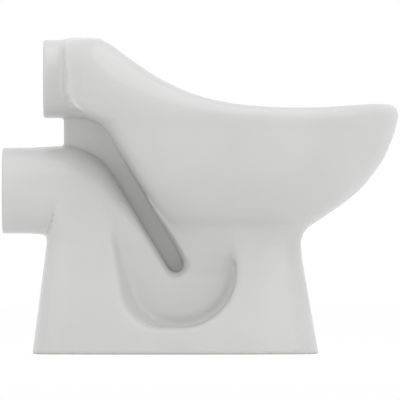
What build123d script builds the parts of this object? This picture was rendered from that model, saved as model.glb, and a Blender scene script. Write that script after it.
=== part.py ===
from build123d import *
import os
from math import cos, pi, radians, sin

# Child's floor-standing toilet pan in vitreous china, in millimetres.
# +X points to the front of the bowl, +Z up, and the pan is symmetric about the plane Y = 0.
# The origin lies on the floor, under the middle of the pan's box.
# The china is cast in several pieces that are stuck together with slip, and each casting is a node.

os.makedirs("parts", exist_ok=True)

# Overall sizes
PAN_BACK = -237.5
HALF_WIDTH = 145.0
WALL = 10.0
RIM_LAND = 14.0
RIM_JOINT_Z = 252.0
SUMP_Z = 109.0

# Outer body below the rim: height, back, widest X, front, half width, squareness of back and front
BODY_STATIONS = [
    (SUMP_Z, -17.8, 13.6, 45.0, 42.0, 4.5, 4.0),
    (118.0, -22.6, 18.0, 60.0, 49.0, 3.8, 3.0),
    (130.0, -29.4, 25.0, 87.0, 54.5, 3.2, 2.4),
    (140.0, -35.2, 32.0, 107.0, 58.0, 3.0, 2.2),
    (152.0, -42.3, 39.0, 130.0, 66.0, 3.0, 2.1),
    (165.0, -49.9, 44.0, 149.0, 79.0, 3.3, 2.2),
    (180.0, -58.9, 48.0, 171.5, 94.0, 3.5, 2.2),
    (196.0, -68.5, 50.0, 190.5, 107.5, 3.7, 2.2),
    (214.0, -79.3, 50.0, 206.0, 120.0, 3.9, 2.2),
    (232.0, -90.1, 47.0, 218.0, 129.5, 4.1, 2.2),
    (RIM_JOINT_Z, -102.1, 43.0, 228.0, 137.5, 4.3, 2.2),
]

# Rim: its outline from above, and how its lower part draws in towards the bowl
RIM_OUTLINE = (-163.6, 40.0, 238.0, HALF_WIDTH, 4.3, 2.2)
RIM_STATIONS = [
    BODY_STATIONS[-1],
    (268.0, -112.0, 40.0, 234.5, 142.0, 4.3, 2.2),
    (276.0, -120.0, 40.0, 238.5, 145.5, 4.3, 2.2),
    (285.0, -136.0, 40.0, 243.0, 150.0, 4.3, 2.2),
    (296.0, -152.0, 40.0, 246.0, 153.0, 4.3, 2.2),
    (310.0, -166.0, 40.0, 248.0, 155.0, 4.3, 2.2),
    (395.0, -170.0, 40.0, 248.0, 155.0, 4.3, 2.2),
]
OUTLINE_POINTS = 24

# Saddle: height of the rim's top along the middle plane, from back to front
SADDLE = [
    (-175.0, 377.3),
    (-139.0, 378.2),
    (-110.0, 371.7),
    (-72.0, 344.3),
    (-33.0, 321.5),
    (15.0, 304.2),
    (63.0, 296.6),
    (120.0, 294.4),
    (207.0, 299.3),
    (250.0, 299.5),
]
SADDLE_RADIUS = 12.0

# Opening of the bowl in the rim, and the curtain of the flush channel round it
OPENING = (-86.0, 45.0, 188.0, 92.0)
OPENING_SQUARE_BACK = 2.5
OPENING_SQUARE_FRONT = 2.1
CURTAIN = 9.0
CURTAIN_GAP = 7.0

# Slot between the bowl's sloping back and the trap
SLOT_X = -29.0
SLOT_Z = 109.0
SLOT_RADIUS = 11.2
SLOT_LEAN = 31.0
WEB_THICKNESS = 10.0
WEB_BACK = -163.6
WEB_SEAT = 8.0
SLOT_LENGTH = 120.0
WEB_FOOT = 16.0

# Trap: half height, half width and corner radius of its tube in the bend, halfway up the leg and at the top
OUTLET_ROOT_RADIUS = 53.5
BEND_SECTION = (31.4, 42.0, 14.0)
LEG_SECTION = (42.2, 48.0, 20.0)
TOP_SECTION = (OUTLET_ROOT_RADIUS, OUTLET_ROOT_RADIUS, OUTLET_ROOT_RADIUS - 0.1)
LEG_LENGTH = 126.0
ELBOW_RADIUS = 78.0

# Outlet spigot
OUTLET_RADIUS = 51.5
OUTLET_STRAIGHT = 32.0
LIP_RADIUS = 1.5

# Inlet horn and its seal
HORN_Z = 329.5
HORN_RADIUS = 47.0
HORN_BACK = -188.3
HORN_FRONT = -120.0
HORN_BORE = 27.5
CHAMBER_X = -140.0
SEAL_BORE = 16.0
SEAL_FLANGE = 33.0
SEAL_FLANGE_THICKNESS = 3.0
SEAL_SEAT = 4.0
SEAL_LENGTH = 31.0
SEAL_TAPER = 4.0

# Foot
FOOT_BACK = -201.2
FOOT_FRONT = 141.8
FOOT_HALF_WIDTH = 88.0
FOOT_WIDEST_X = -30.0
FOOT_TOP = 178.0
BACK_SLOPE = 0.130
FRONT_SLOPE = 0.173
SIDE_SLOPE = 0.216
FOOT_SQUARE_BACK = 4.5
FOOT_SQUARE_FRONT = 3.0

# Recess in each side of the foot, and the screw holes in its ledge
RECESS_TOP = 240.0
RECESS_BACK_TOP = -121.0
RECESS_BACK_BOTTOM = -90.0
RECESS_FRONT = 43.0
RECESS_FLOOR_Y = 40.0
RECESS_BACK_RADIUS = 42.0
RECESS_FRONT_RADIUS = 66.0
LEDGE_Z = 32.0
SCREW_X = -38.5
SCREW_Y = 59.0
SLEEVE_RADIUS = 6.0
SLEEVE_FLANGE = 9.5
SLEEVE_FLANGE_THICKNESS = 2.0
SLEEVE_DEPTH = 9.0
SCREW_HOLE_RADIUS = 3.5


def egg_face(height, back, middle, front, half_width, square_back, square_front):
    """Horizontal outline: two half superellipses that share their widest line."""
    points = []
    for k in range(OUTLINE_POINTS):
        turn = 2 * pi * k / OUTLINE_POINTS
        c, s = cos(turn), sin(turn)
        power = 2 / (square_front if c > 0 else square_back)
        reach = (front - middle) if c > 0 else (back - middle)
        x = middle + reach * abs(c) ** power
        y = half_width * abs(s) ** power * (1 if s > 0 else -1)
        points.append((x, y, height))
    return make_face(Spline(*points, periodic=True))


def shell_face(station, wall):
    """A station's outline, drawn in by a wall."""
    height, back, middle, front, half_width, square_back, square_front = station
    return egg_face(
        height, back + wall, middle, front - wall, half_width - wall, square_back, square_front
    )


def stack(stations, wall=0.0):
    """The body between stations, with straight sides from each one to the next."""
    return loft([shell_face(station, wall) for station in stations], ruled=True)


def side_prism(outline, half_depth):
    """A shape drawn in the X-Z plane, extruded evenly to both sides of it."""
    return extrude(Plane.XZ * outline, half_depth, both=True)


def below_saddle(drop):
    """Everything under the rim's top, lowered by a drop."""
    top = Spline(*[(x, z - drop) for x, z in SADDLE])
    first, last = top @ 0, top @ 1
    base = Polyline((last.X, last.Y), (last.X, 60), (first.X, 60), (first.X, first.Y))
    return side_prism(make_face([top, base]), 200)


def tube_along_x(back, front, radius, height):
    """A round bar along X at a given height."""
    bar = Cylinder(radius, front - back, align=(Align.CENTER, Align.CENTER, Align.MIN))
    return Pos(back, 0, height) * Rot(0, 90, 0) * bar


def largest(shape):
    """The main solid of a cut, without slivers."""
    return Part() + max(shape.solids(), key=lambda piece: piece.volume)


def tube_section(section, wall):
    """The tube's cross-section in its own plane, X across the bend and Y across the pan."""
    half_height, half_width, corner = section
    return RectangleRounded(2 * (half_height - wall), 2 * (half_width - wall), corner - wall)


def leg_way():
    """The slanting leg in the X-Z plane: where its upper edge starts, its way up and its way in."""
    lean = radians(SLOT_LEAN)
    up = Vector(-sin(lean), 0, cos(lean))
    inward = Vector(-cos(lean), 0, -sin(lean))
    return Vector(SLOT_X, 0, SLOT_Z) + inward * SLOT_RADIUS, up, inward


def elbow_centre():
    """Middle of the arc that the trap's upper edge turns on from the leg to the level outlet."""
    start, up, inward = leg_way()
    return start + up * LEG_LENGTH + inward * ELBOW_RADIUS


def outlet_root():
    """Where the trap ends level and the spigot starts: its X, and the height of the outlet's axis."""
    centre = elbow_centre()
    return centre.X, centre.Z + ELBOW_RADIUS - OUTLET_ROOT_RADIUS


def bend_form(wall):
    """The U-bend, drawn in by a wall: the section turned round the end of the slot."""
    centre = Vector(SLOT_X, 0, SLOT_Z)
    out = Vector(1, 0, 0)
    place = Plane(centre + out * (SLOT_RADIUS + BEND_SECTION[0]), x_dir=out, z_dir=(0, 0, -1))
    return revolve(place * tube_section(BEND_SECTION, wall), Axis(centre, (0, 1, 0)), 180 - SLOT_LEAN)


def leg_form(wall):
    """The leg, which widens on its way up, and the elbow over the weir, drawn in by a wall."""
    start, up, inward = leg_way()
    places = []
    for share, section in ((0, BEND_SECTION), (0.5, LEG_SECTION), (1, TOP_SECTION)):
        middle = start + up * (LEG_LENGTH * share) + inward * section[0]
        places.append(Plane(middle, x_dir=inward, z_dir=up) * tube_section(section, wall))
    leg = loft(places, ruled=True)
    to_axis = ELBOW_RADIUS - OUTLET_ROOT_RADIUS
    inner = Pos(to_axis + OUTLET_ROOT_RADIUS, 0) * Rectangle(2 * OUTLET_ROOT_RADIUS, 4 * OUTLET_ROOT_RADIUS)
    middle = start + up * LEG_LENGTH + inward * OUTLET_ROOT_RADIUS
    half = Plane(middle, x_dir=inward, z_dir=up) * (Circle(OUTLET_ROOT_RADIUS - wall) - inner)
    elbow = revolve(half, Axis(elbow_centre(), (0, -1, 0)), 90 - SLOT_LEAN)
    return leg + elbow


def foot_face(height, wall):
    """Outline of the foot at a height, drawn in by a wall."""
    return egg_face(
        height,
        FOOT_BACK + BACK_SLOPE * height + wall,
        FOOT_WIDEST_X,
        FOOT_FRONT - FRONT_SLOPE * height - wall,
        FOOT_HALF_WIDTH - SIDE_SLOPE * height - wall,
        FOOT_SQUARE_BACK,
        FOOT_SQUARE_FRONT,
    )


def recess_outline(grow):
    """The U of the recess, open at the top, let out by a wall."""
    corners = [
        (RECESS_BACK_TOP - grow, RECESS_TOP),
        (RECESS_BACK_BOTTOM - grow, LEDGE_Z - grow),
        (RECESS_FRONT + grow, LEDGE_Z - grow),
        (RECESS_FRONT + grow, RECESS_TOP),
    ]
    bend = FilletPolyline(*corners, radius=[RECESS_BACK_RADIUS + grow, RECESS_FRONT_RADIUS + grow])
    return make_face([bend, Line(corners[-1], corners[0])])


def recess_pair(grow):
    """Both recesses, from their flat floors outwards, let out by a wall."""
    floor = 2 * (RECESS_FLOOR_Y - grow)
    between = Box(2 * HALF_WIDTH + 400, floor, 2 * RECESS_TOP + 400)
    return side_prism(recess_outline(grow), HALF_WIDTH) - between


def outline_of_rim(wall):
    """The rim's outline from above, drawn in by a wall."""
    back, middle, front, half_width, square_back, square_front = RIM_OUTLINE
    return egg_face(
        RIM_JOINT_Z - 2, back + wall, middle, front - wall, half_width - wall, square_back, square_front
    )


def opening_prism(wall, low):
    """The bowl's opening, let out by a wall, as a shaft that starts at a height."""
    back, middle, front, half_width = OPENING
    face = egg_face(
        low, back - wall, middle, front + wall, half_width + wall, OPENING_SQUARE_BACK, OPENING_SQUARE_FRONT
    )
    return extrude(face, 400 - low)


def make_rim(flush_way):
    """Saddle-shaped box rim: rolled outer edge, hollow flush channel and chamber, and a curtain."""
    blank = extrude(outline_of_rim(0), 150) & below_saddle(0)
    tops = [face for face in blank.faces() if face.normal_at(face.center()).Z > 0.9]
    blank = fillet(tops[0].edges(), SADDLE_RADIUS) & stack(RIM_STATIONS)
    hollow = extrude(outline_of_rim(WALL), 150) & below_saddle(RIM_LAND)
    hollow = hollow & stack(RIM_STATIONS, WALL + 2)
    curtain = opening_prism(CURTAIN, RIM_JOINT_Z + CURTAIN_GAP)
    return blank, blank - (hollow - curtain) - opening_prism(0, 240) - flush_way


def make_bowl():
    """Bowl shell from the rim's joint down to the sump, open at both ends."""
    whole = stack(BODY_STATIONS)
    return whole, whole - stack(BODY_STATIONS, WALL)


def make_bend():
    """U-bend under the sump, which holds the water seal."""
    return bend_form(0), bend_form(0) - bend_form(WALL)


def make_trap():
    """Rising leg of the trap and the elbow over its weir, up to where the spigot starts."""
    root_x, axis_z = outlet_root()
    beyond = tube_along_x(PAN_BACK, root_x, 2 * OUTLET_ROOT_RADIUS, axis_z)
    return leg_form(0), largest(leg_form(0) - beyond - leg_form(WALL))


def make_outlet():
    """Outlet spigot: a short cone from the trap, then a true cylinder for the drain's connector."""
    root_x, axis_z = outlet_root()
    straight_end = PAN_BACK + OUTLET_STRAIGHT
    section = Polyline(
        (root_x, 0),
        (root_x, OUTLET_ROOT_RADIUS),
        (straight_end, OUTLET_RADIUS),
        (PAN_BACK + LIP_RADIUS, OUTLET_RADIUS),
        (PAN_BACK, OUTLET_RADIUS - LIP_RADIUS),
        (PAN_BACK, 0),
        (root_x, 0),
    )
    whole = Pos(0, 0, axis_z) * revolve(Plane.XZ * make_face(section), Axis.X)
    return whole, whole - tube_along_x(PAN_BACK, root_x, OUTLET_ROOT_RADIUS - WALL, axis_z)


def make_horn(body, flush_way):
    """Inlet horn: a short socket that grows out of the back of the rim."""
    horn = tube_along_x(HORN_BACK, HORN_FRONT, HORN_RADIUS, HORN_Z)
    back_edges = [edge for edge in horn.edges() if abs((edge @ 0).X - HORN_BACK) < 0.1 and edge.length > 200]
    horn = fillet(back_edges, LIP_RADIUS)
    seat = tube_along_x(HORN_BACK - SEAL_SEAT, HORN_BACK + SEAL_SEAT, SEAL_FLANGE, HORN_Z)
    return horn, largest(horn - body - flush_way - seat)


def make_web(neighbours):
    """Web in the middle plane that ties the bowl's back and the horn to the trap."""
    lean = radians(SLOT_LEAN)
    reach = SLOT_RADIUS + WEB_SEAT
    across = (reach * cos(lean), reach * sin(lean))
    run = (-SLOT_LENGTH * sin(lean), SLOT_LENGTH * cos(lean))
    foot = (WEB_FOOT * sin(lean), -WEB_FOOT * cos(lean))
    outline = Polyline(
        (SLOT_X - across[0] + foot[0], SLOT_Z - across[1] + foot[1]),
        (SLOT_X - across[0] + run[0], SLOT_Z - across[1] + run[1]),
        (WEB_BACK, outlet_root()[1] + OUTLET_ROOT_RADIUS - WEB_SEAT),
        (WEB_BACK, HORN_Z - HORN_RADIUS + WEB_SEAT),
        (SLOT_X + across[0] + run[0], HORN_Z - HORN_RADIUS + WEB_SEAT),
        (SLOT_X + across[0] + run[0], SLOT_Z + across[1] + run[1]),
        (SLOT_X + across[0] + foot[0], SLOT_Z + across[1] + foot[1]),
        (SLOT_X - across[0] + foot[0], SLOT_Z - across[1] + foot[1]),
    )
    web = side_prism(make_face(outline), WEB_THICKNESS / 2)
    for neighbour in neighbours:
        web = web - neighbour
    return web


def slot_block():
    """Block along the slot between the bowl and the trap, wider than the slot by the web's seat."""
    reach = SLOT_RADIUS + WEB_SEAT
    block = Box(2 * reach, 2 * HALF_WIDTH, 2 * SLOT_LENGTH, align=(Align.CENTER, Align.CENTER, Align.MIN))
    return Pos(SLOT_X, 0, SLOT_Z) * Rot(0, -SLOT_LEAN, 0) * Pos(0, 0, -reach) * block


def make_foot(neighbours):
    """Hollow flared foot, open underneath, with a U-shaped recess and a ledge on each side."""
    whole = loft([foot_face(0, 0), foot_face(FOOT_TOP, 0)], ruled=True)
    hollow = loft([foot_face(0, WALL), foot_face(FOOT_TOP, WALL)], ruled=True)
    foot = whole - (hollow - recess_pair(WALL)) - recess_pair(0) - slot_block()
    for side in (-1, 1):
        foot = foot - Pos(SCREW_X, side * SCREW_Y, 0) * Cylinder(SLEEVE_RADIUS, 100)
        foot = foot - Pos(SCREW_X, side * SCREW_Y, LEDGE_Z) * Cylinder(SLEEVE_FLANGE, 2 * SLEEVE_FLANGE_THICKNESS)
    for neighbour in neighbours:
        foot = foot - neighbour
    return largest(foot)


def make_seal():
    """Rubber flush seal: a flange sunk in the horn's mouth and a tapered plug in its bore."""
    back = HORN_BACK + SEAL_SEAT - SEAL_FLANGE_THICKNESS
    tip = back + SEAL_LENGTH
    outside = [
        (back, SEAL_BORE),
        (back, SEAL_FLANGE),
        (HORN_BACK + SEAL_SEAT, SEAL_FLANGE),
        (HORN_BACK + SEAL_SEAT, HORN_BORE),
        (tip - SEAL_TAPER, HORN_BORE),
        (tip, HORN_BORE - SEAL_TAPER / 2),
        (tip, SEAL_BORE),
    ]
    section = make_face(Polyline(*outside, outside[0]))
    return Pos(0, 0, HORN_Z) * revolve(Plane.XZ * section, Axis.X)


def make_sleeves():
    """Nylon sleeves that line the screw holes of both ledges, with their flanges sunk flush."""
    under_flange = LEDGE_Z - SLEEVE_FLANGE_THICKNESS
    profile = Polyline(
        (SCREW_HOLE_RADIUS, LEDGE_Z - SLEEVE_DEPTH),
        (SLEEVE_RADIUS, LEDGE_Z - SLEEVE_DEPTH),
        (SLEEVE_RADIUS, under_flange),
        (SLEEVE_FLANGE, under_flange),
        (SLEEVE_FLANGE, LEDGE_Z),
        (SCREW_HOLE_RADIUS, LEDGE_Z),
        (SCREW_HOLE_RADIUS, LEDGE_Z - SLEEVE_DEPTH),
    )
    sleeve = revolve(Plane.XZ * make_face(profile), Axis.Z)
    return Compound(children=[Pos(SCREW_X, side * SCREW_Y, 0) * sleeve for side in (-1, 1)])


flush_way = tube_along_x(HORN_BACK - 5, CHAMBER_X, HORN_BORE, HORN_Z)
rim_form, rim = make_rim(flush_way)
body_form, bowl = make_bowl()
lower_trap_form, trap_bend = make_bend()
upper_trap_form, trapway = make_trap()
outlet_form, outlet_spigot = make_outlet()
horn_form, inlet_horn = make_horn(rim_form, flush_way)
rear_web = make_web([body_form, rim_form, lower_trap_form, upper_trap_form, horn_form])
pedestal = make_foot([body_form, lower_trap_form, upper_trap_form, outlet_form])

nodes = {
    "rim": rim,
    "bowl": bowl,
    "trap_bend": trap_bend,
    "trapway": trapway,
    "outlet_spigot": outlet_spigot,
    "inlet_horn": inlet_horn,
    "rear_web": rear_web,
    "pedestal": pedestal,
    "flush_seal": make_seal(),
    "fixing_sleeves": make_sleeves(),
}
for name, shape in nodes.items():
    export_step(shape, f"parts/{name}.step")
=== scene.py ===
"""Child's floor-standing toilet pan in glazed vitreous china: the glazed skin, the fittings and the stage.

The castings of the pan are stuck together before firing and the glaze runs over their joints, so their
skins are cut from one smooth field of distances, worked out on a grid of points with numpy. Lengths in the
tables and in the field are millimetres, as on a workshop drawing, and meshes are in metres.
+X points to the front of the bowl, +Z up, and the pan is symmetric about the plane Y = 0.
"""
import math

import bpy
import numpy as np
from bpy.props import FloatProperty, FloatVectorProperty, PointerProperty
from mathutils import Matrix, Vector


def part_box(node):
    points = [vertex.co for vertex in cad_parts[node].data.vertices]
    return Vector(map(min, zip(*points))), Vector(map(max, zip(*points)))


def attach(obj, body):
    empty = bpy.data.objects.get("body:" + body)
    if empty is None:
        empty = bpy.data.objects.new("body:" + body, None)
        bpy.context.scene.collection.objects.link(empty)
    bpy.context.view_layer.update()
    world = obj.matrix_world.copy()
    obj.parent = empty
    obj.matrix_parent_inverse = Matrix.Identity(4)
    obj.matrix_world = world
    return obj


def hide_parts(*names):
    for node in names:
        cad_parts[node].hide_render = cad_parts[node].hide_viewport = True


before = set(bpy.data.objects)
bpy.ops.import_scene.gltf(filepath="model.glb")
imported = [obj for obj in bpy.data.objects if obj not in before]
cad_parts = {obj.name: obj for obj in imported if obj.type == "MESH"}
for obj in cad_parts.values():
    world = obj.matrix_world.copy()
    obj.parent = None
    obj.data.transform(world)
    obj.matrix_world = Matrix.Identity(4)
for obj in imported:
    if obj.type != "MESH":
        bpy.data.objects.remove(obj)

bl_info = {
    "name": "Child's Toilet Pan",
    "version": (1, 0, 0),
    "blender": (4, 5, 0),
    "location": "View3D > Sidebar > Toilet Pan",
    "description": "Builds the glazed skin, the fittings and the stage of a child's toilet pan",
    "category": "Object",
}

MM = 0.001

# Reach of the grid of points: along X, out to each side, and up
GRID_X = (-243.0, 244.0)
GRID_HALF = 150.0
GRID_Z = (-4.3, 384.0)

# Body from the sump to the rim: height, back, widest X, front, half width, squareness back and front
BODY_STATIONS = np.array([
    (95.0, -17.8, 13.6, 45.0, 41.0, 4.5, 4.0),
    (109.0, -17.8, 13.6, 45.0, 42.0, 4.5, 4.0),
    (118.0, -22.6, 18.0, 62.0, 48.0, 3.8, 3.0),
    (130.0, -29.4, 25.0, 92.0, 53.5, 3.2, 2.4),
    (140.0, -35.2, 32.0, 112.0, 58.0, 3.0, 2.2),
    (152.0, -42.3, 39.0, 130.0, 66.0, 3.0, 2.1),
    (165.0, -49.9, 44.0, 149.5, 80.0, 3.3, 2.2),
    (180.0, -58.9, 48.0, 171.5, 94.0, 3.5, 2.2),
    (196.0, -68.5, 50.0, 190.5, 107.5, 3.7, 2.2),
    (214.0, -79.3, 50.0, 206.0, 120.0, 3.9, 2.2),
    (232.0, -90.1, 47.0, 218.7, 129.5, 4.1, 2.2),
    (252.0, -102.1, 43.0, 228.0, 137.5, 4.3, 2.2),
    (268.0, -112.0, 40.0, 233.8, 141.5, 4.3, 2.2),
    (276.0, -120.0, 40.0, 236.0, 143.5, 4.3, 2.2),
    (285.0, -136.0, 40.0, 237.6, 144.8, 4.3, 2.2),
    (296.0, -152.0, 40.0, 238.0, 145.0, 4.3, 2.2),
    (310.0, -162.5, 40.0, 238.0, 144.2, 4.3, 2.2),
    (330.0, -163.6, 40.0, 238.0, 141.5, 4.5, 2.2),
    (350.0, -163.6, 40.0, 238.0, 137.5, 4.7, 2.2),
    (380.0, -163.6, 40.0, 238.0, 130.0, 4.8, 2.2),
    (400.0, -163.6, 40.0, 238.0, 125.0, 4.8, 2.2),
])

# Saddle: height of the rim's top in the middle plane, from back to front
SADDLE = np.array([
    (-200.0, 375.4), (-175.0, 376.2), (-139.0, 377.1), (-124.0, 376.2), (-110.0, 371.5), (-91.0, 357.9),
    (-72.0, 344.3), (-52.5, 331.7), (-33.0, 321.4), (-14.0, 312.9), (15.0, 304.2), (43.0, 298.8),
    (63.0, 296.6), (90.0, 295.0), (120.0, 294.5), (150.0, 295.2), (187.0, 297.8), (212.0, 299.3),
    (235.0, 299.0), (260.0, 298.0),
])

# Share of the side's roll that the rim's edge has, by distance from the middle plane
ROLL_SHARE = np.array([(0.0, 0.0), (40.0, 0.0), (105.0, 1.0), (150.0, 1.0)])
# Two X values of the shoulders, then the X of the side's roll and of the front's
ROLL_X = np.array([-200.0, -100.0, 20.0, 250.0])

# Bowl and rim: heights of their joint and of the bowl's foot, wall, and land over the flush channel
JOINT_Z = 252.0
BODY_FOOT_Z = 106.0
WALL = 10.0
LAND = 14.0
# Plan of the opening: back, widest X, front, half width, squareness back and front
OPENING = (-86.0, 45.0, 188.0, 92.0, 2.5, 2.1)
OPENING_FOOT_Z = 240.0
CURTAIN = 9.0
CURTAIN_FOOT_Z = 259.0
WATER_COVE = 6.0

# Slot between bowl and trap: centre of its round lower end, half width, lean and the way that it runs
SLOT = (-29.0, 109.0)
SLOT_RADIUS = 11.2
SLOT_LEAN = math.radians(31.0)
SLOT_WAY = (-math.sin(SLOT_LEAN), math.cos(SLOT_LEAN))
ROOT_RADIUS = 53.5
# Trap's tube in the bend, halfway up the leg, at its top and at the outlet: half height and width, corner
# radius, which is 0.1 mm short of the half width where the tube is round
TUBE = np.array([(31.4, 40.0, 14.0), (42.2, 46.5, 18.0), (53.5, 53.5, 34.0), (53.5, 53.5, 53.4)])
LEG_LENGTH = 126.0
ELBOW_RADIUS = 78.0
BEND_POINTS, LEG_POINTS, ELBOW_POINTS = 25, 22, 20
OUTLET_RADIUS = 51.5
PAN_BACK = -237.5
OUTLET_STRAIGHT = 32.0
SUMP_RISE = 24.0

# Flush inlet, its bore into the chamber and the seat of its seal
HORN_Z = 329.5
HORN_RADIUS = 47.0
HORN_BACK = -188.3
HORN_FRONT = -120.0
HORN_BORE = 27.5
CHAMBER_X = -140.0
SEAL_FLANGE = 33.0
SEAL_SEAT = 4.0

# Web between bowl and trap, which reaches into both by its seat
WEB_HALF = 5.0
WEB_SEAT = 8.0
WEB_FOOT = 16.0
WEB_BACK = -163.6
WEB_BACK_FOOT_Z = 240.0
WEB_COVE = 3.0

# Plan of the foot at the floor, as the opening's, and how much its back, front and sides lean in with Z
FOOT = (-201.2, -30.0, 141.8, 88.0, 4.5, 3.0)
FOOT_SLOPES = (0.130, 0.173, 0.216)
FOOT_TOP = 176.0
# Recess in each side of the foot: its back line, front, ledge, corner arcs, floor and back wall's slope
RECESS_BACK = ((-121.0, 240.0), (-90.0, 32.0))
RECESS_FRONT = 43.0
LEDGE_Z = 32.0
RECESS_RADII = (42.0, 66.0)
RECESS_FLOOR = 37.5
RECESS_SLOPE = 0.5
# Hole for the floor screw in the ledge, and its sleeve
SCREW = (-38.5, 59.0)
SLEEVE_RADIUS = 6.0
SLEEVE_FLANGE = 9.5
SLEEVE_SEAT = 2.0
SCREW_HOLE_RISE = 6.0

# Radii of the small glazed edges, and lengths by which the trap and the slot's line run past their ends
FINE_EDGE = 1.0
SOFT_EDGE = 2.0
PIPE_EDGE = 2.5
MOUTH_EDGE = 3.0
PAST_END = 30.0
LONG_RUN = 300.0

CASTINGS = ("bowl", "rim", "trapway", "outlet_spigot", "inlet_horn", "rear_web", "pedestal", "trap_bend")
BOWL, RIM, TRAPWAY, SPIGOT, HORN, WEB, PEDESTAL, BEND = range(len(CASTINGS))
# Depth of a joint's dip under the skin, in cells
DIP = 0.7
# Times that a point of the skin is moved towards the surface
SKIN_STEPS = 4

SEAL_RIBS = 3
SEAL_RIB_GAP = 9.0

# Heights in metres between which the bare clay under the foot gives way to the glaze
BARE_Z = (0.0006, 0.0022)
BARE_ROUGHNESS = 0.85
# Sockets of a Mix node by kind: the first and the last value, and the result
MIX_SOCKETS = {"FLOAT": (2, 3, 0), "RGBA": (6, 7, 2)}

FLOOR_HALF = 6.0
FLOOR_GREY = 0.93
# Share of pure white in the floor that the camera sees, and strength of the dome that lights the pan
FLOOR_WHITE = 0.97
DOME = 0.70
# Soft lamps, all turned to the target: name, place, width and power
LAMP_TARGET = (0.0, 0.0, 0.2)
LAMPS = (
    ("top_light", (0.1, -0.5, 2.2), 2.4, 14.0),
    ("right_light", (1.7, -1.4, 1.3), 2.0, 7.5),
    ("left_light", (-2.0, -1.2, 0.9), 2.0, 3.5),
)


class PanSizes(bpy.types.PropertyGroup):
    """Sizes of the glazed skin that a user would change."""

    cell: FloatProperty(
        name="Skin Cell", description="Distance between the points that the glazed skin is worked out on",
        default=0.0024, min=0.0015, max=0.006, unit="LENGTH")
    end_roll: FloatProperty(
        name="End Roll", description="Radius of the rim's rolled outer edge at the front tip and at the back",
        default=0.013, min=0.004, max=0.020, unit="LENGTH")
    side_roll: FloatProperty(
        name="Side Roll", description="Radius of the rim's rolled outer edge along the sides",
        default=0.023, min=0.004, max=0.030, unit="LENGTH")
    shoulder: FloatProperty(
        name="Shoulder", description="Radius of the rounded shoulders of the rim's high back",
        default=0.042, min=0.004, max=0.060, unit="LENGTH")
    opening_roll: FloatProperty(
        name="Opening Roll", description="Radius of the edge round the opening",
        default=0.007, min=0.002, max=0.008, unit="LENGTH")
    foot_cove: FloatProperty(
        name="Foot Cove", description="Radius of the hollow where the bowl runs into the foot",
        default=0.016, min=0.002, max=0.040, unit="LENGTH")
    joint_cove: FloatProperty(
        name="Joint Cove", description="Radius of the hollows where the other castings meet",
        default=0.008, min=0.002, max=0.020, unit="LENGTH")
    edge_roll: FloatProperty(
        name="Edge Roll", description="Radius of the glazed edges of the recess",
        default=0.007, min=0.002, max=0.012, unit="LENGTH")


class PanColours(bpy.types.PropertyGroup):
    """Colours and gloss of the pan's materials."""

    glaze: FloatVectorProperty(
        name="Glaze", description="Colour of the china under its clear glaze",
        default=(0.68, 0.68, 0.675), subtype="COLOR", min=0.0, max=1.0)
    biscuit: FloatVectorProperty(
        name="Biscuit", description="Colour of the bare fired clay under the foot",
        default=(0.70, 0.66, 0.58), subtype="COLOR", min=0.0, max=1.0)
    rubber: FloatVectorProperty(
        name="Rubber", description="Colour of the flush seal",
        default=(0.018, 0.018, 0.019), subtype="COLOR", min=0.0, max=1.0)
    nylon: FloatVectorProperty(
        name="Nylon", description="Colour of the screw sleeves",
        default=(0.60, 0.60, 0.57), subtype="COLOR", min=0.0, max=1.0)
    glaze_roughness: FloatProperty(
        name="Glaze Roughness", description="How soft the glaze's reflections are",
        default=0.22, min=0.0, max=1.0, subtype="FACTOR")


def smooth_curve(knots, values, at):
    """Cubic through the knots: on each span the Hermite blend of its ends and of their mean slopes."""
    slopes = np.gradient(values, knots)
    at = np.clip(at, knots[0], knots[-1])
    span = np.clip(np.searchsorted(knots, at, side="right") - 1, 0, len(knots) - 2)
    width = knots[span + 1] - knots[span]
    t = (at - knots[span]) / width
    low = values[span] * (1 + 2 * t) * (1 - t) ** 2 + slopes[span] * width * t * (1 - t) ** 2
    high = values[span + 1] * t * t * (3 - 2 * t) - slopes[span + 1] * width * t * t * (1 - t)
    return low + high


def join(a, b, radius):
    """Union of two forms whose hollow corner is a round cove of this radius."""
    inner = np.hypot(np.maximum(radius - a, 0), np.maximum(radius - b, 0))
    return np.maximum(radius, np.minimum(a, b)) - inner


def common(a, b, radius):
    """What two forms share, with a round edge of this radius."""
    outer = np.hypot(np.maximum(radius + a, 0), np.maximum(radius + b, 0))
    return np.minimum(-radius, np.maximum(a, b)) + outer


def to_distance(level, cell):
    """Distance near the surface where a level function is 1: what it exceeds 1 by, over its slope."""
    slopes = np.gradient(level, cell)
    steep = np.sqrt(sum(slope * slope for slope in slopes))
    return (level - 1) / np.maximum(steep, 1e-3)


def egg_level(x, y, back, middle, front, half, square_back, square_front):
    """Superellipse level: the nth root of the summed nth powers of the shares of reach and half width."""
    ahead = x > middle
    reach = np.where(ahead, front - middle, middle - back)
    power = np.where(ahead, square_front, square_back)
    return (np.abs((x - middle) / reach) ** power + np.abs(y / half) ** power) ** (1 / power)


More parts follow.
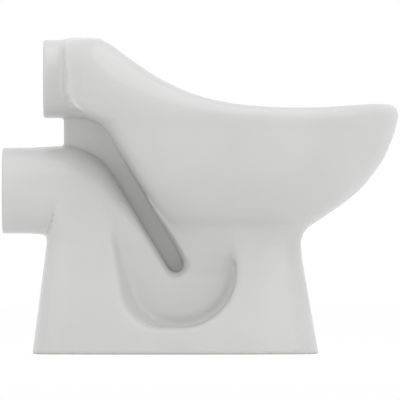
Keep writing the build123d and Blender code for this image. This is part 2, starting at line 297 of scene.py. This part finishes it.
def trap_path():
    """Middle line of the trap: points in the X-Z plane, and the tube's half sizes and corner radius there.

    The tube's upper edge runs round the slot's end, up the lean of the slot and round the elbow's arc;
    the middle line lies a half height away from it, square to the way of travel.
    """
    turns = np.radians(np.linspace(0, -(180 - math.degrees(SLOT_LEAN)), BEND_POINTS))
    bend = np.stack([SLOT[0] + SLOT_RADIUS * np.cos(turns), SLOT[1] + SLOT_RADIUS * np.sin(turns)], 1)
    runs = np.linspace(0, LEG_LENGTH, LEG_POINTS)[1:]
    leg = bend[-1] + runs[:, None] * np.array(SLOT_WAY)
    last = turns[-1]
    centre = leg[-1] + ELBOW_RADIUS * np.array([math.cos(last), math.sin(last)])
    sweep = last + np.linspace(0, math.pi / 2 - SLOT_LEAN, ELBOW_POINTS)[1:]
    elbow = centre - ELBOW_RADIUS * np.stack([np.cos(sweep), np.sin(sweep)], 1)
    edge = np.concatenate([bend, leg, elbow])
    out_angle = np.concatenate([turns, np.full(len(runs), last), sweep])
    # Sizes follow the share of the leg that is passed. The bend is at 0, and the elbow adds up to a half.
    round_elbow = LEG_LENGTH * (1 + 0.5 * np.linspace(0, 1, len(elbow)))
    share = np.concatenate([np.zeros(len(bend)), runs, round_elbow]) / LEG_LENGTH
    knots = np.array([-0.5, 0.0, 0.5, 1.0, 1.5, 2.0])
    sizes = np.stack([smooth_curve(knots, column[[0, 0, 1, 2, 3, 3]], share) for column in TUBE.T], 1)
    middle = edge + sizes[:, :1] * np.stack([np.cos(out_angle), np.sin(out_angle)], 1)
    start = middle[:1] + np.array([[0.0, SUMP_RISE]])
    end = np.array([[PAN_BACK + OUTLET_STRAIGHT, middle[-1][1]], [PAN_BACK - PAST_END, middle[-1][1]]])
    spigot = np.array([[OUTLET_RADIUS, OUTLET_RADIUS, OUTLET_RADIUS - 0.1]] * 2)
    return np.concatenate([start, middle, end]), np.concatenate([sizes[:1], sizes, spigot])


def tube_distance(x, y, z, path):
    """Distance to a tube: to a rounded rectangle, in the offset from the path and in Y.

    With q the offsets less the straight half sides, it is |max(q, 0)| + min(max q, 0) - corner radius.
    """
    middle, sizes = path
    plane_x, plane_z = x[:, 0, 0], z[0, 0, :]
    px, pz = np.meshgrid(plane_x, plane_z, indexing="ij")
    best = np.full(px.shape, 1e9)
    chosen = np.ones((4, *px.shape))
    for k in range(len(middle) - 1):
        run = middle[k + 1] - middle[k]
        share = ((px - middle[k][0]) * run[0] + (pz - middle[k][1]) * run[1]) / (run @ run)
        share = np.clip(share, 0, 1)
        away = np.hypot(px - middle[k][0] - share * run[0], pz - middle[k][1] - share * run[1])
        size = sizes[k][:, None, None] + share * (sizes[k + 1] - sizes[k])[:, None, None]
        nearer = away - size[0] < best
        best = np.where(nearer, away - size[0], best)
        chosen = np.where(nearer, np.stack([away, *size]), chosen)
    away, half_height, half_width, corner = (part[:, None, :] for part in chosen)
    across = away - half_height + corner
    beside = np.abs(y) - half_width + corner
    outside = np.hypot(np.maximum(across, 0), np.maximum(beside, 0))
    return outside + np.minimum(np.maximum(across, beside), 0) - corner


def half_plane(x, z, first, second):
    """Distance to the right of a line from one point to another, in the X-Z plane."""
    run_x, run_z = second[0] - first[0], second[1] - first[1]
    size = math.hypot(run_x, run_z)
    return ((z - first[1]) * run_x - (x - first[0]) * run_z) / size


def recess_plan(x, y, z, grow):
    """U of the recess: back line, ledge and front line, with two large corner arcs.

    The back wall slopes, so its line moves forward with the depth from the foot's face.
    """
    face = FOOT[3] - FOOT_SLOPES[2] * z
    back = half_plane(x, z, RECESS_BACK[0], RECESS_BACK[1]) + RECESS_SLOPE * (np.abs(y) - face)
    shape = common(-back - grow, LEDGE_Z - z - grow, RECESS_RADII[0] + grow)
    return common(shape, x - RECESS_FRONT - grow, RECESS_RADII[1] + grow)


class Field:
    """Distances to the pan's forms on a grid of points, in millimetres."""

    def __init__(self, sizes):
        self.cell = sizes.cell / MM
        count_y = int(math.ceil(GRID_HALF / self.cell))
        self.xs = np.arange(GRID_X[0], GRID_X[1] + self.cell, self.cell)
        self.ys = (np.arange(count_y) + 0.5) * self.cell
        self.zs = np.arange(GRID_Z[0], GRID_Z[1], self.cell)
        x, y, z = self.xs[:, None, None], self.ys[None, :, None], self.zs[None, None, :]
        self.x, self.y, self.z = x, y, z
        self.along_slot = (x - SLOT[0]) * SLOT_WAY[0] + (z - SLOT[1]) * SLOT_WAY[1]
        far = (SLOT[0] + LONG_RUN * SLOT_WAY[0], SLOT[1] + LONG_RUN * SLOT_WAY[1])
        self.off_slot = half_plane(x, z, SLOT, far)
        self.beside_slot = np.abs(self.off_slot) - SLOT_RADIUS - WEB_SEAT
        self.round_horn = np.hypot(y, z - HORN_Z)
        path = trap_path()
        self.root_x, self.axis_z = path[0][-3][0], path[0][-1][1]

        joint_cove = sizes.joint_cove / MM
        over = self.over_saddle()
        tube = tube_distance(x, y, z, path)
        body = self.body_form(over, sizes)
        trap = common(tube, PAN_BACK - x, PIPE_EDGE)
        horn = self.horn_form()
        web = self.web_form()
        foot = self.foot_form(joint_cove, sizes.edge_roll / MM)
        solid = join(join(body, foot, sizes.foot_cove / MM), trap, joint_cove)
        solid = join(join(solid, horn, joint_cove), web, WEB_COVE)
        for hollow, edge in self.hollows(body, over, tube, sizes.opening_roll / MM):
            solid = common(solid, -hollow, edge)
        self.value = self.mirrored(solid).astype(np.float32)
        self.parts = self.named_parts({BOWL: body, TRAPWAY: trap, HORN: horn, WEB: web, PEDESTAL: foot})

    def over_saddle(self):
        """Distance above the saddle: the height over its line, over the root of 1 + rise squared."""
        top = smooth_curve(SADDLE[:, 0], SADDLE[:, 1], self.x)
        rise = np.gradient(top[:, 0, 0], self.cell)[:, None, None]
        return (self.z - top) / np.sqrt(1 + rise * rise)

    def body_form(self, over, sizes):
        """Bowl and rim: ovals through the stations, cut by the saddle with an edge that is rolled most at
        the shoulders, less along the sides and least at the two ends.
        """
        end_roll, side_roll, shoulder = sizes.end_roll / MM, sizes.side_roll / MM, sizes.shoulder / MM
        flank = smooth_curve(ROLL_X, np.array([shoulder, shoulder, side_roll, end_roll]), self.x)
        share = smooth_curve(ROLL_SHARE[:, 0], ROLL_SHARE[:, 1], self.y)
        roll = end_roll + (flank - end_roll) * share
        rows = [smooth_curve(BODY_STATIONS[:, 0], column, self.z) for column in BODY_STATIONS[:, 1:].T]
        side = to_distance(egg_level(self.x, self.y, *rows), self.cell)
        return common(common(side, over, roll), BODY_FOOT_Z - self.z, FINE_EDGE)

    def horn_form(self):
        """Flush inlet: a round bar along X, which the hollows bore out."""
        horn = common(self.round_horn - HORN_RADIUS, HORN_BACK - self.x, MOUTH_EDGE)
        return common(horn, self.x - HORN_FRONT, FINE_EDGE)

    def web_form(self):
        """Web between bowl and trap: a strip on both sides of the slot, and the corner under the horn."""
        x, z = self.x, self.z
        strip = np.maximum(np.maximum(self.beside_slot, -self.along_slot - WEB_FOOT), z - HORN_Z)
        corner = np.maximum(WEB_BACK - x, np.maximum(z - HORN_Z, WEB_BACK_FOOT_Z - z))
        corner = np.maximum(corner, -self.off_slot - SLOT_RADIUS - WEB_SEAT)
        plan = np.maximum(np.minimum(strip, corner), WEB_BACK - x)
        return common(np.abs(self.y) - WEB_HALF, plan, SOFT_EDGE)

    def foot_form(self, joint_cove, edge_roll):
        """Hollow foot: a flared oval with a lined recess on each side, kept clear of the slot."""
        x, y, z = self.x, self.y, self.z
        back, middle, front, half, square_back, square_front = FOOT
        foot_row = (back + FOOT_SLOPES[0] * z, middle, front - FOOT_SLOPES[1] * z, half - FOOT_SLOPES[2] * z)
        skirt = to_distance(egg_level(x, y, *foot_row, square_back, square_front), self.cell)
        recess = common(recess_plan(x, y, z, 0.0), RECESS_FLOOR - np.abs(y), joint_cove)
        lining = np.maximum(recess_plan(x, y, z, WALL), RECESS_FLOOR - WALL - np.abs(y))
        shell = np.maximum(common(skirt, -recess, edge_roll), -np.maximum(skirt + WALL, -lining))
        slot = np.maximum(self.beside_slot, -self.along_slot - SLOT_RADIUS - WEB_SEAT)
        return common(np.maximum(np.maximum(shell, z - FOOT_TOP), -slot), -z, SOFT_EDGE)

    def hollows(self, body, over, tube, opening_roll):
        """Hollows of the pan, each with the radius of the edge round it.

        The shaft of the opening, then the bowl's cavity with its channel and the trap's bore, then the flush
        inlet's bore with the seal's seat, and last the screw's hole with the sleeve's seat.
        """
        x, y, z = self.x, self.y, self.z
        opening = to_distance(np.broadcast_to(egg_level(x, y, *OPENING), body.shape), self.cell)
        shaft = np.maximum(opening, OPENING_FOOT_Z - z)
        channel = np.maximum(body + WALL, over + LAND)
        curtain = np.maximum(np.maximum(opening - CURTAIN, -opening), CURTAIN_FOOT_Z - z)
        cavity = np.maximum(channel, -curtain)
        level_bore = np.maximum(np.hypot(y, z - self.axis_z) - (ROOT_RADIUS - WALL), x - self.root_x)
        water = join(cavity, np.minimum(tube + WALL, level_bore), WATER_COVE)
        seat = np.maximum(self.round_horn - SEAL_FLANGE, x - HORN_BACK - SEAL_SEAT)
        flush = np.minimum(np.maximum(self.round_horn - HORN_BORE, x - CHAMBER_X), seat)
        round_screw = np.hypot(x - SCREW[0], y - SCREW[1])
        sunk = np.maximum(round_screw - SLEEVE_FLANGE, np.abs(z - LEDGE_Z) - SLEEVE_SEAT)
        screw = np.maximum(round_screw - SLEEVE_RADIUS, z - LEDGE_Z - SCREW_HOLE_RISE)
        screw = np.minimum(screw, sunk)
        return (shaft, opening_roll), (water, MOUTH_EDGE), (flush, SOFT_EDGE), (screw, FINE_EDGE)

    def mirrored(self, half):
        """The whole grid from its half at positive Y."""
        half = np.broadcast_to(half, (len(self.xs), len(self.ys), len(self.zs)))
        return np.concatenate([half[:, ::-1], half], axis=1)

    def named_parts(self, forms):
        """Which casting each point belongs to: the first form that holds it, or the nearest one."""
        layers = [np.broadcast_to(form, forms[BOWL].shape) for form in forms.values()]
        nearest = np.argmin(np.stack(layers), axis=0)
        for k in range(len(layers) - 1, -1, -1):
            nearest = np.where(layers[k] < 0, k, nearest)
        names = np.array(list(forms))[nearest]
        names = np.where((names == BOWL) & (self.z > JOINT_Z), RIM, names)
        names = np.where((names == TRAPWAY) & (self.x < self.root_x), SPIGOT, names)
        low = (self.along_slot < 0) | (self.x > SLOT[0])
        names = np.where((names == TRAPWAY) & low, BEND, names)
        return self.mirrored(names)


def corner_views(grid):
    """The eight corner values of every cell, as shifted views of the grid."""
    ends = [slice(0, -1), slice(1, None)]
    return [grid[ends[i], ends[j], ends[k]] for i in (0, 1) for j in (0, 1) for k in (0, 1)]


def sample(grid, place):
    """Blend of the eight grid values round each place, by its share of the way along each side."""
    low = np.clip(np.floor(place).astype(int), 0, np.array(grid.shape) - 2)
    share = place - low
    total = 0
    for i in (0, 1):
        for j in (0, 1):
            for k in (0, 1):
                weight = (np.abs(1 - i - share[:, 0]) * np.abs(1 - j - share[:, 1])
                          * np.abs(1 - k - share[:, 2]))
                total = total + weight * grid[low[:, 0] + i, low[:, 1] + j, low[:, 2] + k]
    return total


def skin_points(value):
    """One point per cell that the surface crosses, moved down the field's slope until its value is 0."""
    corners = np.stack(corner_views(value))
    crossed = (corners.min(0) < 0) & (corners.max(0) >= 0)
    cells = np.argwhere(crossed)
    slopes = np.gradient(value)
    place = cells + 0.5
    for _ in range(SKIN_STEPS):
        level = sample(value, place)
        slope = np.stack([sample(axis, place) for axis in slopes], 1)
        size = np.maximum((slope * slope).sum(1), 1e-6)
        step = -(level / size)[:, None] * slope
        place = np.clip(place + step, cells, cells + 1)
    slope = np.stack([sample(axis, place) for axis in slopes], 1)
    normals = slope / np.maximum(np.linalg.norm(slope, axis=1), 1e-6)[:, None]
    return crossed, cells, place, normals


def casting_faces(inside, solid):
    """Four-sided faces between the cells round each grid line with one end inside, and which are joints."""
    faces, joints = [], []
    for axis in range(3):
        one, two = [slice(1, -1)] * 3, [slice(1, -1)] * 3
        one[axis], two[axis] = slice(0, -1), slice(1, None)
        first, second = inside[tuple(one)], inside[tuple(two)]
        within = solid[tuple(one)] & solid[tuple(two)]
        for leaving in (True, False):
            hit = np.argwhere(first & ~second if leaving else second & ~first)
            joints.append(within[tuple(hit.T)])
            offset = np.ones(3, int)
            offset[axis] = 0
            base = hit + offset
            u, v = (axis + 1) % 3, (axis + 2) % 3
            step_u, step_v = np.zeros(3, int), np.zeros(3, int)
            step_u[u], step_v[v] = 1, 1
            ring = [base - step_u - step_v, base - step_v, base, base - step_u]
            if not leaving:
                ring.reverse()
            faces.append(np.stack(ring, 1))
    return np.concatenate(faces), np.concatenate(joints)


def new_object(name, points, faces):
    """Mesh object from arrays of points in metres and of faces."""
    mesh = bpy.data.meshes.new(name)
    mesh.from_pydata(points, [], faces)
    mesh.update()
    piece = bpy.data.objects.new(name, mesh)
    bpy.context.scene.collection.objects.link(piece)
    return piece


def shade_smooth(piece):
    """Smooth shading on all the faces of a piece."""
    piece.data.polygons.foreach_set("use_smooth", np.ones(len(piece.data.polygons), bool))


def casting_piece(field, crossed, cells, place, normals, number):
    """Closed skin of one casting: glazed surface from the field, and flat joints inside the wall.

    A joint's face that touches the surface on three corners or more would show in a cove, so it dips
    into the wall: four triangles run to a point under the skin.
    """
    solid = field.value < 0
    faces, joints = casting_faces(solid & (field.parts == number), solid)
    flat = faces.reshape(-1, 3)
    shape = np.array(crossed.shape)
    keys = (flat[:, 0] * shape[1] + flat[:, 1]) * shape[2] + flat[:, 2]
    unique, index = np.unique(keys, return_inverse=True)
    where = np.stack(np.unravel_index(unique, crossed.shape), 1)
    points = where + 0.5
    surface_keys = (cells[:, 0] * shape[1] + cells[:, 1]) * shape[2] + cells[:, 2]
    found = np.clip(np.searchsorted(surface_keys, unique), 0, len(surface_keys) - 1)
    on_skin = surface_keys[found] == unique
    points = np.where(on_skin[:, None], place[found], points)
    point_normals = np.where(on_skin[:, None], normals[found], 0.0)
    quads = index.reshape(-1, 4)
    dips = joints & (on_skin[quads].sum(1) > 2)
    lean = point_normals[quads[dips]].sum(1)
    lean /= np.maximum(np.linalg.norm(lean, axis=1), 1e-6)[:, None]
    sunk = len(points) + np.arange(dips.sum())
    points = np.concatenate([points, points[quads[dips]].mean(1) - DIP * lean])
    point_normals = np.concatenate([point_normals, np.zeros_like(lean)])
    fans = [np.stack([quads[dips][:, k], quads[dips][:, (k + 1) % 4], sunk], 1) for k in range(4)]
    start = np.array([field.xs[0], -field.ys[-1], field.zs[0]])
    points = (start + points * field.cell) * MM
    triangles = np.concatenate(fans)
    piece = new_object(CASTINGS[number] + "_skin", points, quads[~dips].tolist() + triangles.tolist())
    shade_smooth(piece)
    piece.data.normals_split_custom_set_from_vertices(point_normals)
    return piece


def finish(piece, material, slot, *nodes):
    """Give a piece its material and its body, and hide the nodes that it stands for. The slot is not used."""
    piece.data.materials.append(material)
    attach(piece, "root")
    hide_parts(*nodes)


def ring_surface(name, profile, centre, axis, sides=96):
    """Closed ring: a profile of radius and distance, turned about an axis by equal angles."""
    turn = np.linspace(0, 2 * math.pi, sides, endpoint=False)
    radius, along = np.array(profile, float).T
    ring = radius[:, None] * np.stack([np.cos(turn), np.sin(turn)])[:, None, :]
    spread = np.broadcast_to(along[:, None], ring[0].shape)
    if axis == "X":
        points = np.stack([spread, ring[0], ring[1]], -1)
    else:
        points = np.stack([ring[0], ring[1], spread], -1)
    points = (points.reshape(-1, 3) + np.array(centre)) * MM
    rows, columns = len(radius), sides
    row = np.arange(rows)[:, None]
    column = np.arange(columns)[None, :]
    next_row, next_column = (row + 1) % rows, (column + 1) % columns
    quads = np.stack([row * columns + column, row * columns + next_column,
                      next_row * columns + next_column, next_row * columns + column], -1)
    piece = new_object(name, points, quads.reshape(-1, 4))
    shade_smooth(piece)
    return piece


def principled(name):
    """New material and its shader."""
    material = bpy.data.materials.new(name)
    material.use_nodes = True
    return material, material.node_tree, material.node_tree.nodes["Principled BSDF"]


def noise(tree, scale, detail, source):
    """Noise on Object coordinates, in cycles per metre."""
    node = tree.nodes.new("ShaderNodeTexNoise")
    node.inputs["Scale"].default_value = scale
    node.inputs["Detail"].default_value = detail
    tree.links.new(source, node.inputs["Vector"])
    return node.outputs["Fac"]


def ramp(tree, source, low, high, first, last):
    """Straight change from a first to a last value while the source goes from low to high."""
    node = tree.nodes.new("ShaderNodeMapRange")
    node.inputs["From Min"].default_value = low
    node.inputs["From Max"].default_value = high
    node.inputs["To Min"].default_value = first
    node.inputs["To Max"].default_value = last
    tree.links.new(source, node.inputs["Value"])
    return node.outputs["Result"]


def mix(tree, kind, factor, first, last):
    """Blend from a first to a last colour or number, by a factor. The first may be a node's output."""
    first_input, last_input, result = MIX_SOCKETS[kind]
    node = tree.nodes.new("ShaderNodeMix")
    node.data_type = kind
    tree.links.new(factor, node.inputs[0])
    if isinstance(first, bpy.types.NodeSocket):
        tree.links.new(first, node.inputs[first_input])
    else:
        node.inputs[first_input].default_value = first
    node.inputs[last_input].default_value = last
    return node.outputs[result]


def mix_colour(tree, factor, first, last):
    """Colour between two, by a factor."""
    return mix(tree, "RGBA", factor, (*first, 1.0), (*last, 1.0))


def bump(tree, shader, height, strength, distance):
    """Small relief from a height."""
    node = tree.nodes.new("ShaderNodeBump")
    node.inputs["Strength"].default_value = strength
    node.inputs["Distance"].default_value = distance
    tree.links.new(height, node.inputs["Height"])
    tree.links.new(node.outputs["Normal"], shader.inputs["Normal"])


def china_material(colours):
    """White vitreous china: cloudy clear glaze with a faint orange peel, bare biscuit under the foot."""
    material, tree, shader = principled("Glazed China")
    place = tree.nodes.new("ShaderNodeTexCoord").outputs["Object"]
    cloud = noise(tree, 9.0, 3.0, place)
    glaze = tuple(colours.glaze)
    paler = tuple(min(1.0, c * 1.02) for c in glaze)
    deeper = tuple(c * 0.975 for c in glaze)
    clouded = mix_colour(tree, ramp(tree, cloud, 0.35, 0.65, 0.0, 1.0), deeper, paler)
    split = tree.nodes.new("ShaderNodeSeparateXYZ")
    tree.links.new(place, split.inputs[0])
    bare = ramp(tree, split.outputs["Z"], *BARE_Z, 1.0, 0.0)
    colour = mix(tree, "RGBA", bare, clouded, (*colours.biscuit, 1.0))
    tree.links.new(colour, shader.inputs["Base Color"])
    streak = noise(tree, 26.0, 2.0, place)
    soft = ramp(tree, streak, 0.3, 0.7, colours.glaze_roughness * 0.85, colours.glaze_roughness * 1.2)
    rough = mix(tree, "FLOAT", bare, soft, BARE_ROUGHNESS)
    tree.links.new(rough, shader.inputs["Roughness"])
    shader.inputs["IOR"].default_value = 1.5
    bump(tree, shader, noise(tree, 240.0, 1.0, place), 0.06, 0.0004)
    return material


def rubber_material(colours):
    """Moulded black rubber with a fine matt grain and a dusty bloom."""
    material, tree, shader = principled("Seal Rubber")
    place = tree.nodes.new("ShaderNodeTexCoord").outputs["Object"]
    bloom = ramp(tree, noise(tree, 60.0, 4.0, place), 0.4, 0.75, 0.0, 1.0)
    base = tuple(colours.rubber)
    dusty = tuple(c * 2.2 + 0.01 for c in base)
    tree.links.new(mix_colour(tree, bloom, base, dusty), shader.inputs["Base Color"])
    tree.links.new(ramp(tree, bloom, 0.0, 1.0, 0.5, 0.75), shader.inputs["Roughness"])
    bump(tree, shader, noise(tree, 1500.0, 2.0, place), 0.2, 0.0002)
    return material


def nylon_material(colours):
    """Natural nylon, slightly cloudy, with a soft moulded surface."""
    material, tree, shader = principled("Sleeve Nylon")
    place = tree.nodes.new("ShaderNodeTexCoord").outputs["Object"]
    cloud = noise(tree, 150.0, 3.0, place)
    base = tuple(colours.nylon)
    warm = (base[0] * 1.04, base[1] * 1.0, base[2] * 0.9)
    tree.links.new(mix_colour(tree, cloud, base, warm), shader.inputs["Base Color"])
    tree.links.new(ramp(tree, cloud, 0.3, 0.7, 0.38, 0.5), shader.inputs["Roughness"])
    shader.inputs["Subsurface Weight"].default_value = 0.1
    shader.inputs["Subsurface Scale"].default_value = 0.002
    bump(tree, shader, noise(tree, 900.0, 2.0, place), 0.1, 0.0002)
    return material


class PAN_OT_china(bpy.types.Operator):
    """Build the glazed skins of all the castings from one field"""

    bl_idname = "pan.china"
    bl_label = "Glazed Castings"

    def execute(self, context):
        field = Field(context.scene.pan_sizes)
        material = china_material(context.scene.pan_colours)
        skin = skin_points(field.value)
        for number, name in enumerate(CASTINGS):
            piece = casting_piece(field, *skin, number)
            finish(piece, material, "china", name)
        return {"FINISHED"}


class PAN_OT_seal(bpy.types.Operator):
    """Build the rubber flush seal, with ribs in its bore"""

    bl_idname = "pan.seal"
    bl_label = "Flush Seal"

    def execute(self, context):
        low, high = (np.array(corner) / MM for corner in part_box("flush_seal"))
        bore, flange, thick = 16.0, 32.9, 3.0
        length = high[0] - low[0]
        profile = [(flange - 2.2, 0.3), (flange - 0.8, 1.0), (flange, thick - 0.4), (flange - 0.4, thick)]
        profile += [(HORN_BORE + 0.5, thick), (HORN_BORE - 0.2, thick + 0.8)]
        profile += [(HORN_BORE - 0.2, length - 4.5), (HORN_BORE - 2.4, length - 0.5), (bore + 2, length)]
        for k in range(SEAL_RIBS):
            place = length - 7 - SEAL_RIB_GAP * k
            profile += [(bore + 2.2, place + 2.2), (bore + 0.2, place), (bore + 2.2, place - 2.2)]
        profile += [(bore + 2.2, 4.0), (bore + 3.2, 0.6), (bore + 5.0, 0.0)]
        piece = ring_surface("flush_seal_rubber", profile, (low[0], 0, HORN_Z), "X")
        finish(piece, rubber_material(context.scene.pan_colours), "seal_rubber", "flush_seal")
        return {"FINISHED"}


class PAN_OT_sleeves(bpy.types.Operator):
    """Build the two flanged nylon sleeves that line the screw holes"""

    bl_idname = "pan.sleeves"
    bl_label = "Screw Sleeves"

    def execute(self, context):
        low, high = (np.array(corner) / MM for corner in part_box("fixing_sleeves"))
        hole, body, flange, top = 3.5, SLEEVE_RADIUS - 0.1, 9.4, high[2] - low[2]
        under = top - 2.0
        profile = [(hole + 0.4, 0.0), (body - 0.5, 0.0), (body, 0.6), (body, under), (flange - 0.2, under)]
        profile += [(flange, under + 0.4), (flange, top - 0.6), (flange - 0.6, top), (hole + 1.0, top)]
        profile += [(hole, top - 0.9), (hole, 0.4)]
        material = nylon_material(context.scene.pan_colours)
        pair = [ring_surface("sleeve", profile, (SCREW[0], side * SCREW[1], low[2]), "Z", 48)
                for side in (-1, 1)]
        with context.temp_override(active_object=pair[0], selected_editable_objects=pair):
            bpy.ops.object.join()
        pair[0].name = "fixing_sleeves_nylon"
        finish(pair[0], material, "sleeve_nylon", "fixing_sleeves")
        return {"FINISHED"}


class PAN_OT_stage(bpy.types.Operator):
    """Set the pale floor, the soft studio light and the camera"""

    bl_idname = "pan.stage"
    bl_label = "Stage"

    def execute(self, context):
        stage_floor()
        stage_light()
        stage_camera()
        return {"FINISHED"}


def stage_floor():
    """Wide pale floor that the camera sees as white, with the pan's soft shadow on it."""
    points = [(along * FLOOR_HALF, across * FLOOR_HALF, 0)
              for along, across in ((-1, -1), (1, -1), (1, 1), (-1, 1))]
    floor = new_object("studio_floor", points, [(0, 1, 2, 3)])
    material, tree, shader = principled("Studio Floor")
    shader.inputs["Base Color"].default_value = (FLOOR_GREY, FLOOR_GREY, FLOOR_GREY, 1.0)
    shader.inputs["Roughness"].default_value = 0.9
    shader.inputs["Specular IOR Level"].default_value = 0.1
    white = tree.nodes.new("ShaderNodeEmission")
    seen = tree.nodes.new("ShaderNodeMath")
    seen.operation = "MULTIPLY"
    seen.inputs[1].default_value = FLOOR_WHITE
    tree.links.new(camera_and_gloss(tree), seen.inputs[0])
    blend = tree.nodes.new("ShaderNodeMixShader")
    tree.links.new(seen.outputs[0], blend.inputs[0])
    tree.links.new(shader.outputs[0], blend.inputs[1])
    tree.links.new(white.outputs[0], blend.inputs[2])
    tree.links.new(blend.outputs[0], tree.nodes["Material Output"].inputs["Surface"])
    floor.data.materials.append(material)


def camera_and_gloss(tree):
    """1 on rays from the camera, off gloss and through glass, and 0 on rays that light a surface."""
    rays = tree.nodes.new("ShaderNodeLightPath")
    total = rays.outputs["Is Camera Ray"]
    for name in ("Is Glossy Ray", "Is Transmission Ray"):
        either = tree.nodes.new("ShaderNodeMath")
        either.operation = "MAXIMUM"
        tree.links.new(total, either.inputs[0])
        tree.links.new(rays.outputs[name], either.inputs[1])
        total = either.outputs[0]
    return total


def stage_light():
    """White background, a grey dome for the fill, and soft lamps above and on both sides."""
    world = bpy.data.worlds.new("Studio")
    bpy.context.scene.world = world
    world.use_nodes = True
    tree = world.node_tree
    shade = tree.nodes["Background"]
    level = ramp(tree, camera_and_gloss(tree), 0.0, 1.0, DOME, 1.0)
    shade.inputs["Color"].default_value = (1.0, 1.0, 1.0, 1.0)
    tree.links.new(level, shade.inputs["Strength"])
    for name, place, size, power in LAMPS:
        lamp(name, place, size, power)


def lamp(name, place, size, power):
    """Square soft lamp that looks at the target."""
    data = bpy.data.lights.new(name, "AREA")
    data.size = size
    data.energy = power
    light = bpy.data.objects.new(name, data)
    light.location = place
    light.rotation_euler = (Vector(LAMP_TARGET) - Vector(place)).to_track_quat("-Z", "Y").to_euler()
    bpy.context.scene.collection.objects.link(light)


def stage_camera():
    """Far camera with a long lens, square to the pan's right side, which sees 480 mm across."""
    view_width, distance = 0.480, 14.0
    target = (-0.0003, 0.0, 0.1843)
    data = bpy.data.cameras.new("side_camera")
    data.sensor_width = 36.0
    data.lens = 36.0 * distance / view_width
    data.clip_end = 60.0
    camera = bpy.data.objects.new("side_camera", data)
    camera.location = (target[0], -distance, target[2])
    camera.rotation_euler = (math.pi / 2, 0.0, 0.0)
    bpy.context.scene.collection.objects.link(camera)
    bpy.context.scene.camera = camera
    bpy.context.scene.view_settings.view_transform = "Standard"


class PAN_PT_panel(bpy.types.Panel):
    """Buttons for the pan's pieces, and their sizes and colours"""

    bl_idname = "PAN_PT_panel"
    bl_label = "Toilet Pan"
    bl_space_type = "VIEW_3D"
    bl_region_type = "UI"
    bl_category = "Toilet Pan"

    def draw(self, context):
        for operator in OPERATORS:
            self.layout.operator(operator.bl_idname)
        for group in (context.scene.pan_sizes, context.scene.pan_colours):
            for name in group.bl_rna.properties.keys():
                if name not in {"rna_type", "name"}:
                    self.layout.prop(group, name)


OPERATORS = (PAN_OT_china, PAN_OT_seal, PAN_OT_sleeves, PAN_OT_stage)
CLASSES = (PanSizes, PanColours, *OPERATORS, PAN_PT_panel)


def register():
    for item in CLASSES:
        bpy.utils.register_class(item)
    bpy.types.Scene.pan_sizes = PointerProperty(type=PanSizes)
    bpy.types.Scene.pan_colours = PointerProperty(type=PanColours)


def unregister():
    del bpy.types.Scene.pan_colours
    del bpy.types.Scene.pan_sizes
    for item in reversed(CLASSES):
        bpy.utils.unregister_class(item)


def main():
    """Build everything in order."""
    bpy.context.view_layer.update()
    register()
    for step in (bpy.ops.pan.china, bpy.ops.pan.seal, bpy.ops.pan.sleeves, bpy.ops.pan.stage):
        if step() != {"FINISHED"}:
            raise RuntimeError("a step of the pan did not finish")


if __name__ == "__main__":
    main()
